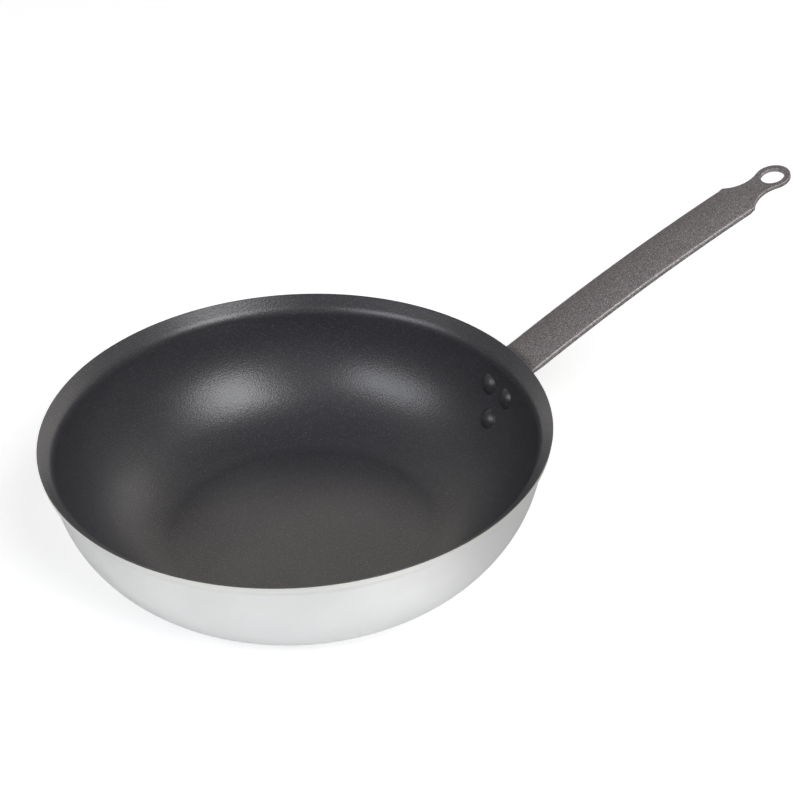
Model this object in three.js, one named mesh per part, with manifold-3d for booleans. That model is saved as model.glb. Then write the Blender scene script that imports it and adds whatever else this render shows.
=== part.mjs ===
// Rounded saute pan: a pressed shell with a non-stick lining and a riveted strip handle.
// Millimetres, +Z up. The origin is the centre of the base underside.
// The handle runs out along +X and the pan is symmetric about the XZ plane.

import * as THREE from 'three';
import { LoftGeometry } from 'three/addons/geometries/LoftGeometry.js';
import { mergeVertices, toCreasedNormals } from 'three/addons/utils/BufferGeometryUtils.js';
import Module from 'manifold-3d';

const { degToRad, smoothstep } = THREE.MathUtils;

// Pan body, measured on its outer skin
const RIM_DIAMETER = 280;
const PAN_HEIGHT = 77;
const SHEET = 2.5;
const LIP_REACH = 5;
const LIP_SLOPE = degToRad(45);
const LIP_BEND_RADIUS = 3;
const BASE_EDGE_RADIUS = 45;
const BASE_EDGE_ANGLE = degToRad(26);

// Non-stick lining
const LINING = 0.4;
const LINING_GAP = 0.2;
const LINING_SETBACK = 0.6;

// Handle strip, from the root bend to the hanging eye
const STRIP_WIDTH = 30;
const STRIP_THICKNESS = 2.5;
const STRIP_LENGTH = 200;
const STRIP_RISE = degToRad(26.2);
const STRIP_CURVE_RADIUS = 1300;
const CROWN = 2;
const FOLD_DEPTH = 0.8;
const FOLD_THICKNESS = 2;
const FOLD_RADIUS = 1;
const FOLD_RUN_IN = 14;
const FOLD_RUN_OUT = 3;
const EDGE_BREAK = 0.4;

// Handle foot, which lies on the wall, and the root bend above it
const HANDLE_DROP = 15.4;
const BEND_RADIUS = 7;
const FOOT_GAP = 0.3;
const FOOT_MARGIN = 3.5;
const BEND_MARGIN = 4.9;

// Hanging eye and the neck before it
const EYE_HOLE = 14;
const EYE_RING = 3.8;
const NECK_INSET = 2.6;
const NECK_ARC_RADIUS = 18.5;

// Rivets: domed heads inside the pan, upset tails outside the foot
const RIVET_SHANK = 6;
const RIVET_HEAD = 12.5;
const RIVET_HEAD_RISE = 2.8;
const RIVET_TAIL = 10;
const RIVET_TAIL_RISE = 1.6;
const RIVET_CLEARANCE = 0.3;
const RIVET_SPREAD = 19;
const RIVET_PITCH = 19.5;

// Fineness of the round surfaces
const LATHE_SEGMENTS = 64;
const ARC_STEP = degToRad(9);
const RIVET_SEGMENTS = 20;

// Lip, whose edge is cut upright at the rim
const lipTurn = Math.PI / 2 - LIP_SLOPE;
const lipHeight = lipRise(SHEET, 0);

// Wall arc, tangent to the upright wall below the lip and to the base edge arc
const wallRadius = RIM_DIAMETER / 2 - LIP_REACH;
const wallCentreZ = PAN_HEIGHT - lipHeight;
const arcDifference = (wallCentreZ - BASE_EDGE_RADIUS) / Math.cos(BASE_EDGE_ANGLE);
const wallArcRadius = BASE_EDGE_RADIUS + arcDifference;
const wallCentreX = wallRadius - wallArcRadius;
const baseFlatRadius = wallCentreX + arcDifference * Math.sin(BASE_EDGE_ANGLE);
const liningInside = SHEET + LINING_GAP + LINING;

// Lengths along the middle of the handle strip, counted from the lower end of the foot
const eyeRadius = EYE_HOLE / 2 + EYE_RING;
const neckHalfWidth = eyeRadius - NECK_INSET;
const neckRun = Math.sqrt((NECK_ARC_RADIUS + eyeRadius) ** 2 - (NECK_ARC_RADIUS + neckHalfWidth) ** 2);
const stripHalfWidth = STRIP_WIDTH / 2;
const shoulderRun = arcRun(NECK_ARC_RADIUS, stripHalfWidth - neckHalfWidth);
const footEndRadius = RIVET_TAIL / 2 + FOOT_MARGIN;
const footHalfWidth = RIVET_SPREAD / 2 + footEndRadius;
const footRadius = wallArcRadius + FOOT_GAP + STRIP_THICKNESS / 2;
const bendHeading = Math.acos((wallCentreZ - PAN_HEIGHT + HANDLE_DROP) / footRadius);
const lowerRow = footEndRadius;
const upperRow = lowerRow + RIVET_PITCH;
const bendStart = upperRow + RIVET_TAIL / 2 + BEND_MARGIN;
const stripStart = bendStart + BEND_RADIUS * (bendHeading - STRIP_RISE);
const eyeCentre = stripStart + STRIP_LENGTH;
const neckMiddle = eyeCentre - neckRun;
const neckEnd = neckMiddle + (neckRun * NECK_ARC_RADIUS) / (NECK_ARC_RADIUS + eyeRadius);
const shoulder = neckMiddle - shoulderRun;

const wasm = await Module();
wasm.setup();

// Half the chord of a circle at a given depth under its crest
function arcRun(radius, depth) {
  return Math.sqrt(radius ** 2 - (radius - depth) ** 2);
}

// Height of the lip's edge over the upright wall, at a depth under the outer skin
function lipRise(depth, setback) {
  const bend = LIP_BEND_RADIUS + depth;
  const run = LIP_REACH - LIP_BEND_RADIUS + bend * Math.cos(lipTurn) - setback;
  return bend * Math.sin(lipTurn) + run / Math.tan(lipTurn);
}

// Points of an arc, ends included
function arcPoints(centreX, centreY, radius, from, to) {
  const arc = new THREE.EllipseCurve(centreX, centreY, radius, radius, from, to, to < from);
  return arc.getPoints(Math.ceil(Math.abs(to - from) / ARC_STEP));
}

// Equal steps between two lengths, both included
function spread(from, to, count) {
  return Array.from({ length: count + 1 }, (_, i) => from + ((to - from) * i) / count);
}

// Closed geometry to solid: only positions are kept, with shared corners merged
function solid(geometry) {
  const bare = new THREE.BufferGeometry().copy(geometry);
  bare.deleteAttribute('normal');
  bare.deleteAttribute('uv');
  const merged = mergeVertices(bare);
  const corners = merged.index.array;
  const triangles = [];
  for (let i = 0; i < corners.length; i += 3) {
    const [a, b, c] = corners.slice(i, i + 3);
    if (a !== b && b !== c && c !== a) triangles.push(a, b, c);
  }
  return new wasm.Manifold(new wasm.Mesh({
    numProp: 3,
    vertProperties: new Float32Array(merged.attributes.position.array),
    triVerts: new Uint32Array(triangles),
  }));
}

// Solid to drawable geometry with crisp edges
function drawable(body) {
  const mesh = body.getMesh();
  const geometry = new THREE.BufferGeometry();
  geometry.setAttribute('position', new THREE.BufferAttribute(mesh.vertProperties, 3));
  geometry.setIndex(new THREE.BufferAttribute(mesh.triVerts, 1));
  return toCreasedNormals(geometry, degToRad(30));
}

// Profile turned about +Z: x is the radius and y the height
function turned(profile, segments) {
  return new THREE.LatheGeometry(profile, segments).rotateX(Math.PI / 2);
}

// Meridian of the pan at a depth under its outer skin, from the axis to the lip's edge
function meridian(depth, setback) {
  const quarter = Math.PI / 2;
  const lipBendX = wallRadius + LIP_BEND_RADIUS;
  const baseEdge = BASE_EDGE_ANGLE - quarter;
  return [
    new THREE.Vector2(0, depth),
    ...arcPoints(baseFlatRadius, BASE_EDGE_RADIUS, BASE_EDGE_RADIUS - depth, -quarter, baseEdge),
    ...arcPoints(wallCentreX, wallCentreZ, wallArcRadius - depth, baseEdge, 0).slice(1),
    ...arcPoints(lipBendX, wallCentreZ, LIP_BEND_RADIUS + depth, Math.PI, quarter + LIP_SLOPE).slice(1),
    new THREE.Vector2(RIM_DIAMETER / 2 - setback, wallCentreZ + lipRise(depth, setback)),
  ];
}

// Shell of revolution between two depths under the outer skin
function shell(outerDepth, innerDepth, setback) {
  const profile = [...meridian(outerDepth, setback), ...meridian(innerDepth, setback).reverse()];
  return solid(turned(profile, LATHE_SEGMENTS));
}

// Place and heading on the middle of the handle strip: foot arc, root bend, then the long arc
function handlePose(length) {
  let heading = bendHeading - (bendStart - length) / footRadius;
  if (length <= bendStart) {
    const x = wallCentreX + footRadius * Math.sin(heading);
    return { x, z: wallCentreZ - footRadius * Math.cos(heading), heading };
  }
  const bendX = wallCentreX + (footRadius + BEND_RADIUS) * Math.sin(bendHeading);
  const bendZ = wallCentreZ - (footRadius + BEND_RADIUS) * Math.cos(bendHeading);
  heading = bendHeading - (length - bendStart) / BEND_RADIUS;
  if (length <= stripStart) {
    return { x: bendX - BEND_RADIUS * Math.sin(heading), z: bendZ + BEND_RADIUS * Math.cos(heading), heading };
  }
  const step = STRIP_CURVE_RADIUS - BEND_RADIUS;
  const curveX = bendX + step * Math.sin(STRIP_RISE);
  const curveZ = bendZ - step * Math.cos(STRIP_RISE);
  heading = STRIP_RISE - (length - stripStart) / STRIP_CURVE_RADIUS;
  return {
    x: curveX - STRIP_CURVE_RADIUS * Math.sin(heading),
    z: curveZ + STRIP_CURVE_RADIUS * Math.cos(heading),
    heading,
  };
}

// Half the width of the handle: round foot end, shield, strip, neck arc and eye
function handleHalfWidth(length) {
  if (length < lowerRow) return arcRun(footEndRadius, length);
  if (length < upperRow) {
    return footEndRadius + (footHalfWidth - footEndRadius) * smoothstep(length, lowerRow, upperRow);
  }
  if (length < stripStart) {
    return footHalfWidth + (stripHalfWidth - footHalfWidth) * smoothstep(length, upperRow, stripStart);
  }
  if (length < shoulder) return stripHalfWidth;
  if (length < neckEnd) {
    const fromMiddle = length - neckMiddle;
    return neckHalfWidth + NECK_ARC_RADIUS - Math.sqrt(NECK_ARC_RADIUS ** 2 - fromMiddle ** 2);
  }
  return Math.sqrt(eyeRadius ** 2 - (length - eyeCentre) ** 2);
}

// Section across the handle as [sideways, up] pairs: crowned plate with folded edges,
// listed over the top from the left edge and back along the underside
function handleSection(length) {
  const runIn = smoothstep(length, stripStart, stripStart + FOLD_RUN_IN);
  const fold = runIn * (1 - smoothstep(length, shoulder, shoulder + FOLD_RUN_OUT));
  const crown = CROWN * runIn * (1 - smoothstep(length, shoulder - FOLD_RUN_IN, neckMiddle));
  const half = handleHalfWidth(length);
  const top = STRIP_THICKNESS / 2;
  const round = Math.min(EDGE_BREAK + (FOLD_RADIUS - EDGE_BREAK) * fold, half / 4);
  const foldInside = half - Math.min(FOLD_THICKNESS, half / 3);
  const foldFoot = -top - FOLD_DEPTH * fold;
  const plate = half - round;
  const underside = foldInside - round / 2;
  const slant = round * (1 - Math.SQRT1_2);
  const over = [-1, -0.75, -0.5, -0.25, 0, 0.25, 0.5, 0.75, 1].map((t) => [
    -t * plate,
    top + crown * (1 - t ** 2),
  ]);
  const under = [-1, -0.5, 0, 0.5, 1].map((t) => [
    t * underside,
    -top + crown * (1 - t ** 2),
  ]);
  return [
    [half, foldFoot],
    [half, top - round],
    [half - slant, top - slant],
    ...over,
    [-half + slant, top - slant],
    [-half, top - round],
    [-half, foldFoot],
    [-foldInside, foldFoot],
    ...under,
    [foldInside, foldFoot],
  ];
}

// Section set in space: wrapped round the pan on the foot, straight across on the strip
function placedSection(length) {
  const { x, z, heading } = handlePose(length);
  const wrap = 1 - smoothstep(length, bendStart, stripStart);
  return handleSection(length).map(([side, up]) => {
    const radius = x - up * Math.sin(heading);
    const turn = side / x;
    const wrappedX = radius * Math.cos(turn);
    const wrappedY = radius * Math.sin(turn);
    return new THREE.Vector3(
      radius + (wrappedX - radius) * wrap,
      side + (wrappedY - side) * wrap,
      z + up * Math.cos(heading),
    );
  });
}

// Lengths at which the handle's sections are taken, closer where the outline turns
function handleStations() {
  const roundSteps = spread(degToRad(8), Math.PI / 2, 7);
  const footEnd = roundSteps.map((a) => footEndRadius * (1 - Math.cos(a)));
  const eyeStart = Math.asin((neckEnd - eyeCentre) / eyeRadius);
  const eyeEnd = Math.PI / 2 - degToRad(8);
  const eye = spread(eyeStart, eyeEnd, 12).map((a) => eyeCentre + eyeRadius * Math.sin(a));
  return [
    ...footEnd,
    ...spread(lowerRow, upperRow, 6).slice(1),
    ...spread(upperRow, bendStart, 2).slice(1),
    ...spread(bendStart, stripStart, 6).slice(1),
    ...spread(stripStart, stripStart + FOLD_RUN_IN, 4).slice(1),
    ...spread(stripStart + FOLD_RUN_IN, shoulder - FOLD_RUN_IN, 10).slice(1),
    ...spread(shoulder - FOLD_RUN_IN, shoulder, 2).slice(1),
    ...spread(shoulder, shoulder + FOLD_RUN_OUT, 3).slice(1),
    ...spread(shoulder + FOLD_RUN_OUT, neckEnd, 6).slice(1),
    ...eye.slice(1),
  ];
}

// Solid moved from its own axes to a place
function placed(geometry, place) {
  place.updateMatrix();
  return solid(geometry.clone().applyMatrix4(place.matrix));
}

// Upright cylinder about the local Z axis
function pin(radius, height, segments) {
  return new THREE.CylinderGeometry(radius, radius, height, segments).rotateX(Math.PI / 2);
}

// Rivet places on the outer skin, with local +Z pointing into the pan
function rivetPlace(row, side) {
  const { x, heading } = handlePose(row);
  const turn = side / x;
  const radius = wallCentreX + wallArcRadius * Math.sin(heading);
  const inward = new THREE.Vector3(-Math.cos(turn), -Math.sin(turn), 0);
  inward.multiplyScalar(Math.sin(heading)).setZ(Math.cos(heading));
  const place = new THREE.Object3D();
  place.position.set(radius * Math.cos(turn), radius * Math.sin(turn), wallCentreZ);
  place.position.z -= wallArcRadius * Math.cos(heading);
  place.quaternion.setFromUnitVectors(new THREE.Vector3(0, 0, 1), inward);
  return place;
}

// Domed end of a rivet, from its rim to the axis, above or below its seat
function domePoints(diameter, rise, seat, direction) {
  const half = diameter / 2;
  const radius = (half ** 2 + rise ** 2) / (2 * rise);
  const opening = Math.asin(half / radius);
  return arcPoints(0, rise - radius, radius, Math.PI / 2 - opening, Math.PI / 2).map(
    (p) => new THREE.Vector2(Math.max(p.x, 0), seat + direction * p.y),
  );
}

// Rivet about its own axis, with z = 0 on the pan's outer skin
function rivetGeometry() {
  const headSag = (RIVET_HEAD / 2) ** 2 / (2 * (wallArcRadius - liningInside));
  const headSeat = liningInside + headSag + RIVET_CLEARANCE;
  const tailSeat = -FOOT_GAP - STRIP_THICKNESS - RIVET_CLEARANCE;
  return turned([
    ...domePoints(RIVET_TAIL, RIVET_TAIL_RISE, tailSeat, -1).reverse(),
    new THREE.Vector2(RIVET_SHANK / 2, tailSeat),
    new THREE.Vector2(RIVET_SHANK / 2, headSeat),
    ...domePoints(RIVET_HEAD, RIVET_HEAD_RISE, headSeat, 1),
  ], RIVET_SEGMENTS);
}

const rivets = {
  rivet_upper_left: rivetPlace(upperRow, RIVET_SPREAD / 2),
  rivet_upper_right: rivetPlace(upperRow, -RIVET_SPREAD / 2),
  rivet_lower: rivetPlace(lowerRow, 0),
};

// Rivet holes through the lining, the wall and the foot
const rivetGrip = liningInside + FOOT_GAP + STRIP_THICKNESS;
const holePin = pin(RIVET_SHANK / 2 + RIVET_CLEARANCE, 4 * rivetGrip, RIVET_SEGMENTS);

function riveted(body) {
  return Object.values(rivets).reduce((rest, place) => rest.subtract(placed(holePin, place)), body);
}

// Hanging hole, square to the eye
function eyeHole() {
  const { x, z, heading } = handlePose(eyeCentre);
  const place = new THREE.Object3D();
  place.position.set(x, 0, z);
  place.rotation.y = -heading;
  return placed(pin(EYE_HOLE / 2, 4 * STRIP_THICKNESS, 2 * RIVET_SEGMENTS), place);
}

function panBody() {
  return riveted(shell(0, SHEET, 0));
}

function nonstickLining() {
  return riveted(shell(SHEET + LINING_GAP, liningInside, LINING_SETBACK));
}

function handle() {
  const sections = handleStations().map(placedSection);
  const strip = new LoftGeometry(sections, { capStart: true, capEnd: true });
  return riveted(solid(strip)).subtract(eyeHole());
}

const bareAluminium = { color: 0xd9d8d3, roughness: 0.38, metalness: 1 };
const nonstickCoat = { color: 0x3b3a3b, roughness: 0.5, metalness: 0.1 };
const speckledEpoxy = { color: 0x6d6662, roughness: 0.55, metalness: 0.3 };
const coatedHead = { color: 0x47464a, roughness: 0.4, metalness: 0.1 };

function piece(name, geometry, look) {
  const mesh = new THREE.Mesh(geometry, new THREE.MeshStandardMaterial(look));
  mesh.name = name;
  return mesh;
}

const pan = new THREE.Group();
pan.add(piece('pan_body', drawable(panBody()), bareAluminium));
pan.add(piece('nonstick_lining', drawable(nonstickLining()), nonstickCoat));
pan.add(piece('handle', drawable(handle()), speckledEpoxy));

const rivetShape = drawable(solid(rivetGeometry()));
for (const [name, place] of Object.entries(rivets)) {
  const rivet = piece(name, rivetShape, coatedHead);
  rivet.position.copy(place.position);
  rivet.quaternion.copy(place.quaternion);
  pan.add(rivet);
}

export default pan;
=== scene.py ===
"""Saute pan: smooth surfaces, finishes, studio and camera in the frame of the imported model.

Lengths are in millimetres in the classes below and in metres on the Blender objects.
The handle runs out along +X and +Z is up; the origin is the centre of the base underside.
"""

import logging
import math
from collections.abc import Sequence
from dataclasses import dataclass
from enum import Enum

import bmesh
import bpy
import numpy as np
from mathutils import Matrix, Vector


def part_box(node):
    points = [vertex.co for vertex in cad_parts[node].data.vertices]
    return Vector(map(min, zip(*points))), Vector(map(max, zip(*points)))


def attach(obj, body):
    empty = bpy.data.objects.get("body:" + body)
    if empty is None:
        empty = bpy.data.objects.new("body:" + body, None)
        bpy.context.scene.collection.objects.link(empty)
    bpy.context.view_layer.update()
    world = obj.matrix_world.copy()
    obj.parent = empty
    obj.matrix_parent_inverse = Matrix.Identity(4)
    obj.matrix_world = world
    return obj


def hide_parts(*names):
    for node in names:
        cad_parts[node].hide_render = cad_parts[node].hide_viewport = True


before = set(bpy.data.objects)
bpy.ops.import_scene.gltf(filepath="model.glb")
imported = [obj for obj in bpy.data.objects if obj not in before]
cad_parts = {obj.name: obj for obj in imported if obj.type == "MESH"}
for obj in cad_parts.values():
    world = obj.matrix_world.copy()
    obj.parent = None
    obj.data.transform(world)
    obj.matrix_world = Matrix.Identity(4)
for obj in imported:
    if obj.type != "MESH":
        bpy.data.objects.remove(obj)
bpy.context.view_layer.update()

MM = 0.001
WELD = 0.002 * MM
log = logging.getLogger("saute_pan")

Colour = tuple[float, float, float]

# Length, side and height of points on the flat strip
StripGrid = tuple[np.ndarray, np.ndarray, np.ndarray]


class Slot(Enum):
    """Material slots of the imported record."""

    ALUMINIUM = "bare_aluminium"
    COAT = "nonstick_coat"
    EPOXY = "speckled_epoxy"
    RIVET = "coated_rivet"


# Surfaces


def smoothstep(value: np.ndarray, low: float, high: float) -> np.ndarray:
    """Rises smoothly from 0 at low to 1 at high: 3t^2 - 2t^3.

    Args:
        value: where the step is taken.
        low: the value at which it starts.
        high: the value at which it ends.

    Returns:
        The step at each value.
    """
    t = np.clip((value - low) / (high - low), 0.0, 1.0)
    return t * t * (3.0 - 2.0 * t)


def arc(centre: tuple[float, float], radius: float, start: float, end: float, count: int) -> np.ndarray:
    """Points centre + radius (cos a, sin a), with a from start to end.

    Args:
        centre: the arc's centre.
        radius: its radius.
        start: first angle in degrees.
        end: last angle in degrees.
        count: number of points, both ends included.

    Returns:
        An array of count rows and two columns.
    """
    a = np.radians(np.linspace(start, end, count))
    return np.column_stack((centre[0] + radius * np.cos(a), centre[1] + radius * np.sin(a)))


@dataclass
class Patch:
    """A grid of points with its own surface coordinates and finish.

    Args:
        points: rows by columns by 3, in millimetres.
        surface: rows by columns by 2, in millimetres along the surface.
        finish: index of the material on the object.
        wear_and_highlight: rows by columns, 0 where the finish is whole and 1 on a rubbed edge, whose
            lighter colour also paints the edge's highlight.
    """

    points: np.ndarray
    surface: np.ndarray
    finish: int = 0
    wear_and_highlight: np.ndarray | float = 0.0

    def quads(self, first: int) -> np.ndarray:
        """Corner numbers of the grid's faces.

        Args:
            first: number of the grid's first point on the object.

        Returns:
            One row of four corners for each face.
        """
        rows, columns = self.points.shape[:2]
        number = first + np.arange(rows * columns).reshape(rows, columns)
        corners = (number[:-1, :-1], number[1:, :-1], number[1:, 1:], number[:-1, 1:])
        return np.stack(corners, axis=-1).reshape(-1, 4)


def build_piece(name: str, patches: list[Patch], finishes: list[bpy.types.Material]) -> bpy.types.Object:
    """One closed object from grids that share their borders.

    Args:
        name: name of the piece.
        patches: the grids.
        finishes: materials that the patches number.

    Returns:
        The object, at the origin, with smooth faces that look outward.
    """
    sizes = [patch.points.shape[0] * patch.points.shape[1] for patch in patches]
    firsts = np.concatenate(([0], np.cumsum(sizes)[:-1])).astype(int)
    points = np.concatenate([patch.points.reshape(-1, 3) for patch in patches]) * MM
    surface = np.concatenate([patch.surface.reshape(-1, 2) for patch in patches]) * MM
    grids = [patch.quads(first) for patch, first in zip(patches, firsts)]
    quads = np.concatenate(grids)
    finish = np.concatenate([np.full(len(grid), patch.finish) for grid, patch in zip(grids, patches)])
    # Per-point lightening of rubbed edges: partly wear, partly a painted highlight on the handle's edge
    wear_and_highlight = np.concatenate([
        np.broadcast_to(patch.wear_and_highlight, patch.points.shape[:2]).ravel() for patch in patches
    ])

    mesh = bpy.data.meshes.new(name)
    mesh.vertices.add(len(points))
    mesh.vertices.foreach_set("co", points.astype(np.float32).ravel())
    mesh.loops.add(quads.size)
    mesh.loops.foreach_set("vertex_index", quads.astype(np.int32).ravel())
    mesh.polygons.add(len(quads))
    mesh.polygons.foreach_set("loop_start", np.arange(0, quads.size, 4, dtype=np.int32))
    mesh.polygons.foreach_set("material_index", finish.astype(np.int32))
    mesh.update(calc_edges=True)
    layer = mesh.uv_layers.new(name="surface")
    layer.data.foreach_set("uv", surface[quads.ravel()].astype(np.float32).ravel())
    mesh.attributes.new("wear_and_highlight", "FLOAT", "POINT").data.foreach_set("value", wear_and_highlight.astype(np.float32))
    for material in finishes:
        mesh.materials.append(material)

    shell = bmesh.new()
    shell.from_mesh(mesh)
    bmesh.ops.remove_doubles(shell, verts=shell.verts[:], dist=WELD)
    bmesh.ops.recalc_face_normals(shell, faces=shell.faces[:])
    for face in shell.faces:
        face.smooth = True
    shell.to_mesh(mesh)
    shell.free()

    piece = bpy.data.objects.new(name, mesh)
    bpy.context.scene.collection.objects.link(piece)
    return piece


def lathe(profile: np.ndarray, segments: int, finish: int = 0, turn_scale: float = 100.0) -> Patch:
    """Profile (r, z) turned about +Z: (r cos u, r sin u, z).

    Args:
        profile: points of two columns, radius and height.
        segments: steps round the axis.
        finish: index of the material.
        turn_scale: length along the surface coordinate for one radian.

    Returns:
        A grid with one row for each profile point.
    """
    u = np.linspace(0.0, 2.0 * math.pi, segments + 1)
    run = np.concatenate(([0.0], np.cumsum(np.hypot(*np.diff(profile, axis=0).T))))
    r, z = profile[:, :1], profile[:, 1:]
    points = np.stack((r * np.cos(u), r * np.sin(u), z + 0.0 * u), axis=-1)
    surface = np.stack((0.0 * r + turn_scale * u, run[:, None] + 0.0 * u), axis=-1)
    return Patch(points, surface, finish)


# Shader nodes


class Nodes:
    """Shader nodes of one material, world or group."""

    def __init__(self, tree: bpy.types.NodeTree) -> None:
        """Starts on an empty tree."""
        self.tree = tree
        self.tree.nodes.clear()

    def add(self, kind: str, inputs: dict | None = None, **settings: object) -> bpy.types.Node:
        """Adds a node.

        Args:
            kind: node type without its ShaderNode prefix.
            inputs: values or output sockets by input name or number.
            settings: node properties.

        Returns:
            The new node.
        """
        prefix = "" if kind.startswith("Node") else "ShaderNode"
        node = self.tree.nodes.new(prefix + kind)
        node.location = (220.0 * len(self.tree.nodes), 0.0)
        for name, value in settings.items():
            setattr(node, name, value)
        for name, value in (inputs or {}).items():
            if isinstance(value, bpy.types.NodeSocket):
                self.tree.links.new(value, node.inputs[name])
            else:
                node.inputs[name].default_value = value
        return node

    def group(self, tree: bpy.types.NodeTree, inputs: dict) -> bpy.types.Node:
        """Adds a node group.

        Args:
            tree: the group.
            inputs: values or output sockets by input name.

        Returns:
            The group node.
        """
        return self.add("Group", inputs, node_tree=tree)

    def ramp(
        self, value: bpy.types.NodeSocket, stops: Sequence[tuple[float, Colour]]
    ) -> bpy.types.NodeSocket:
        """Adds a colour ramp.

        Args:
            value: the socket that drives it.
            stops: places and colours.

        Returns:
            The colour socket.
        """
        node = self.add("ValToRGB", {"Fac": value})
        elements = node.color_ramp.elements
        while len(elements) < len(stops):
            elements.new(0.5)
        for element, (place, colour) in zip(elements, stops):
            element.position = place
            element.color = (*colour, 1.0)
        return node.outputs["Color"]

    def mix(self, share: bpy.types.NodeSocket, low: Colour, high: Colour) -> bpy.types.NodeSocket:
        """Mixes two colours by a socket.

        Args:
            share: 0 for the first colour and 1 for the second.
            low: the first colour.
            high: the second colour.

        Returns:
            The colour socket.
        """
        node = self.add("Mix", data_type="RGBA")
        self.tree.links.new(share, node.inputs["Factor"])
        node.inputs["A"].default_value = (*low, 1.0)
        node.inputs["B"].default_value = (*high, 1.0)
        return next(o for o in node.outputs if o.type == "RGBA")

    def spread(self, value: bpy.types.NodeSocket, low: float, high: float) -> bpy.types.NodeSocket:
        """Maps a 0 to 1 socket to a range.

        Args:
            value: the socket.
            low: result at 0.
            high: result at 1.

        Returns:
            The mapped socket.
        """
        return self.add("MapRange", {"Value": value, "To Min": low, "To Max": high}).outputs["Result"]

    def step(self, value: bpy.types.NodeSocket, low: float, high: float) -> bpy.types.NodeSocket:
        """Rises straight from 0 at low to 1 at high.

        Args:
            value: the socket.
            low: the value at which the rise starts.
            high: the value at which it ends.

        Returns:
            The rise, held between 0 and 1.
        """
        return self.add("MapRange", {"Value": value, "From Min": low, "From Max": high}).outputs["Result"]

    def calc(self, operation: str, *values: bpy.types.NodeSocket | float) -> bpy.types.NodeSocket:
        """Works out one result from sockets and numbers.

        Args:
            operation: Blender's name for what is done.
            values: sockets or numbers, in their order.

        Returns:
            The result's socket.
        """
        return self.add("Math", dict(enumerate(values)), operation=operation).outputs[0]


def new_group(
    name: str, inputs: dict[str, str], outputs: dict[str, str]
) -> tuple[Nodes, bpy.types.Node, bpy.types.Node]:
    """Empty shader group with its sockets.

    Args:
        name: name of the group.
        inputs: socket kinds by name.
        outputs: socket kinds by name.

    Returns:
        The nodes, the group's input node and its output node.
    """
    tree = bpy.data.node_groups.new(name, "ShaderNodeTree")
    for socket, kind in inputs.items():
        tree.interface.new_socket(socket, in_out="INPUT", socket_type=kind)
    for socket, kind in outputs.items():
        tree.interface.new_socket(socket, in_out="OUTPUT", socket_type=kind)
    nodes = Nodes(tree)
    return nodes, nodes.add("NodeGroupInput"), nodes.add("NodeGroupOutput")


@dataclass
class Effects:
    """Shader groups that several finishes share."""

    grain: bpy.types.NodeTree
    turned: bpy.types.NodeTree
    cloud: bpy.types.NodeTree

    @classmethod
    def build(cls) -> "Effects":
        """Makes every group once."""
        return cls(cls.make_grain(), cls.make_turned(), cls.make_cloud())

    @staticmethod
    def make_grain() -> bpy.types.NodeTree:
        """Pebbled grain of a sprayed coat: fine noise over rounded cells.

        Returns:
            A group that turns a vector and a cell size in metres into a 0 to 1 height.
        """
        kinds = {"Vector": "NodeSocketVector", "Size": "NodeSocketFloat"}
        nodes, source, result = new_group("sprayed_grain", kinds, {"Height": "NodeSocketFloat"})
        scale = nodes.calc("DIVIDE", 1.0, source.outputs["Size"])
        place = {"Vector": source.outputs["Vector"], "Scale": scale}
        cells = nodes.add("TexVoronoi", place, feature="SMOOTH_F1")
        noise = nodes.add("TexNoise", {**place, "Detail": 2.0, "Roughness": 0.6})
        peel = nodes.calc("SUBTRACT", 1.0, cells.outputs["Distance"])
        both = nodes.calc("MULTIPLY", peel, noise.outputs["Fac"])
        nodes.tree.links.new(both, result.inputs["Height"])
        return nodes.tree

    @staticmethod
    def make_turned() -> bpy.types.NodeTree:
        """Fine lines left by turning, which run round the axis and fade in and out along it.

        Returns:
            A group that turns surface coordinates in metres and a pitch into a 0 to 1 height.
        """
        kinds = {"Vector": "NodeSocketVector", "Pitch": "NodeSocketFloat"}
        nodes, source, result = new_group("turned_lines", kinds, {"Height": "NodeSocketFloat"})
        width_over_length = 0.012
        across = nodes.calc("DIVIDE", 1.0, source.outputs["Pitch"])
        along = nodes.calc("MULTIPLY", across, width_over_length)
        stretch = nodes.add("CombineXYZ", {"X": along, "Y": across, "Z": 0.0})
        place = {0: source.outputs["Vector"], 1: stretch.outputs["Vector"]}
        lines = nodes.add("VectorMath", place, operation="MULTIPLY").outputs["Vector"]
        noise = nodes.add("TexNoise", {"Vector": lines, "Scale": 1.0, "Detail": 3.0, "Roughness": 0.65})
        nodes.tree.links.new(noise.outputs["Fac"], result.inputs["Height"])
        return nodes.tree

    @staticmethod
    def make_cloud() -> bpy.types.NodeTree:
        """Soft patches from handling and heat.

        Returns:
            A group that turns a vector and a patch size in metres into a 0 to 1 mask.
        """
        kinds = {"Vector": "NodeSocketVector", "Size": "NodeSocketFloat"}
        nodes, source, result = new_group("soft_patches", kinds, {"Mask": "NodeSocketFloat"})
        scale = nodes.calc("DIVIDE", 1.0, source.outputs["Size"])
        place = {"Vector": source.outputs["Vector"], "Scale": scale, "Detail": 3.0, "Distortion": 0.4}
        noise = nodes.add("TexNoise", place)
        sharper = {"Value": noise.outputs["Fac"], "From Min": 0.3, "From Max": 0.7}
        mask = nodes.add("MapRange", sharper, interpolation_type="SMOOTHSTEP")
        nodes.tree.links.new(mask.outputs["Result"], result.inputs["Mask"])
        return nodes.tree


def new_material(name: str) -> tuple[bpy.types.Material, Nodes]:
    """Empty node material.

    Args:
        name: name of the material.

    Returns:
        The material and its nodes.
    """
    material = bpy.data.materials.new(name)
    material.use_nodes = True
    return material, Nodes(material.node_tree)


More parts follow.
